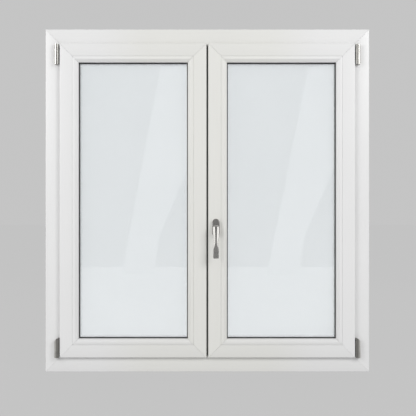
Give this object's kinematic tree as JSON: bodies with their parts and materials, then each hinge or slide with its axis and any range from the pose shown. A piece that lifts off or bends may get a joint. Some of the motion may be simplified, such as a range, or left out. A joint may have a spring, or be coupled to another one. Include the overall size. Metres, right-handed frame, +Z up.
{
  "type": "casement window",
  "caption": "White two-leaf casement window opening inwards, with a floating mullion, double glazing, barrel hinges and a lever handle.",
  "frame": {"origin": "middle of the underside of the frame's sill, half way through its depth", "axes": "+X to the right seen from the room, +Y from the room to the outdoors, +Z up"},
  "size_m": [1.3, 0.1337, 1.375],
  "materials": {
    "white_profile": "white satin window profile with a faint extrusion grain",
    "black_rubber": "matt black extruded seal",
    "satin_nickel": "satin nickel, finely brushed",
    "zinc_steel": "zinc-plated steel",
    "die_cast_alloy": "die-cast zinc alloy case",
    "spacer_alloy": "mill-finish aluminium glazing spacer",
    "clear_glass": "clear float glass with a faint cool cast"
  },
  "bodies": {
    "root": {"bolt_keeper_head": "zinc_steel", "bolt_keeper_sill": "zinc_steel", "frame_head": "white_profile", "frame_jamb_left": "white_profile", "frame_jamb_right": "white_profile", "frame_seal": "black_rubber", "frame_sill": "white_profile", "lower_bearing_left": "satin_nickel", "lower_bearing_right": "satin_nickel", "upper_bearing_left": "satin_nickel", "upper_bearing_right": "satin_nickel", "upper_pin_left": "satin_nickel", "upper_pin_right": "satin_nickel"},
    "left_leaf": {"bolt_plate_lower": "zinc_steel", "bolt_plate_upper": "zinc_steel", "cam_keeper_lower": "zinc_steel", "cam_keeper_upper": "zinc_steel", "left_bead_bottom": "white_profile", "left_bead_left": "white_profile", "left_bead_right": "white_profile", "left_bead_top": "white_profile", "left_bottom_rail": "white_profile", "left_hinge_stile": "white_profile", "left_inner_gasket": "black_rubber", "left_inner_pane": "clear_glass", "left_lip_seal": "black_rubber", "left_lower_strap": "satin_nickel", "left_meeting_stile": "white_profile", "left_outer_gasket": "black_rubber", "left_outer_pane": "clear_glass", "left_spacer": "spacer_alloy", "left_top_rail": "white_profile", "left_upper_strap": "satin_nickel", "mullion": "white_profile", "mullion_seal": "black_rubber"},
    "right_leaf": {"gearbox": "die_cast_alloy", "handle_rosette": "satin_nickel", "lock_plate": "zinc_steel", "right_bead_bottom": "white_profile", "right_bead_left": "white_profile", "right_bead_right": "white_profile", "right_bead_top": "white_profile", "right_bottom_rail": "white_profile", "right_hinge_stile": "white_profile", "right_inner_gasket": "black_rubber", "right_inner_pane": "clear_glass", "right_lip_seal": "black_rubber", "right_lower_strap": "satin_nickel", "right_meeting_stile": "white_profile", "right_outer_gasket": "black_rubber", "right_outer_pane": "clear_glass", "right_spacer": "spacer_alloy", "right_top_rail": "white_profile", "right_upper_strap": "satin_nickel"},
    "handle": {"handle_lever": "satin_nickel", "handle_spindle": "zinc_steel", "lock_follower": "zinc_steel"},
    "drive_rod": {"drive_rod": "zinc_steel"},
    "upper_bolt": {"upper_bolt": "zinc_steel"},
    "lower_bolt": {"lower_bolt": "zinc_steel"}
  },
  "joints": [
    {"name": "left_leaf_turn", "type": "hinge", "parent": "root", "child": "left_leaf", "pos_m": [-0.6035, -0.0465, 0.6875], "axis": [0, 0, -1], "range_deg": [0, 100]},
    {"name": "right_leaf_turn", "type": "hinge", "parent": "root", "child": "right_leaf", "pos_m": [0.6035, -0.0465, 0.6875], "axis": [0, 0, 1], "range_deg": [0, 100]},
    {"name": "handle_turn", "type": "hinge", "parent": "right_leaf", "child": "handle", "pos_m": [0.0344, -0.0621, 0.579], "axis": [0, -1, 0], "range_deg": [0, 90]},
    {"name": "drive_rod_slide", "type": "slide", "parent": "right_leaf", "child": "drive_rod", "axis": [0, 0, 1], "range_m": [0, 0.018]},
    {"name": "upper_bolt_slide", "type": "slide", "parent": "left_leaf", "child": "upper_bolt", "axis": [0, 0, -1], "range_m": [0, 0.018]},
    {"name": "lower_bolt_slide", "type": "slide", "parent": "left_leaf", "child": "lower_bolt", "axis": [0, 0, 1], "range_m": [0, 0.018]}
  ],
  "couplings": [
    {"joint": "drive_rod_slide", "follows": "handle_turn", "m_per_rad": 0.011459}
  ]
}
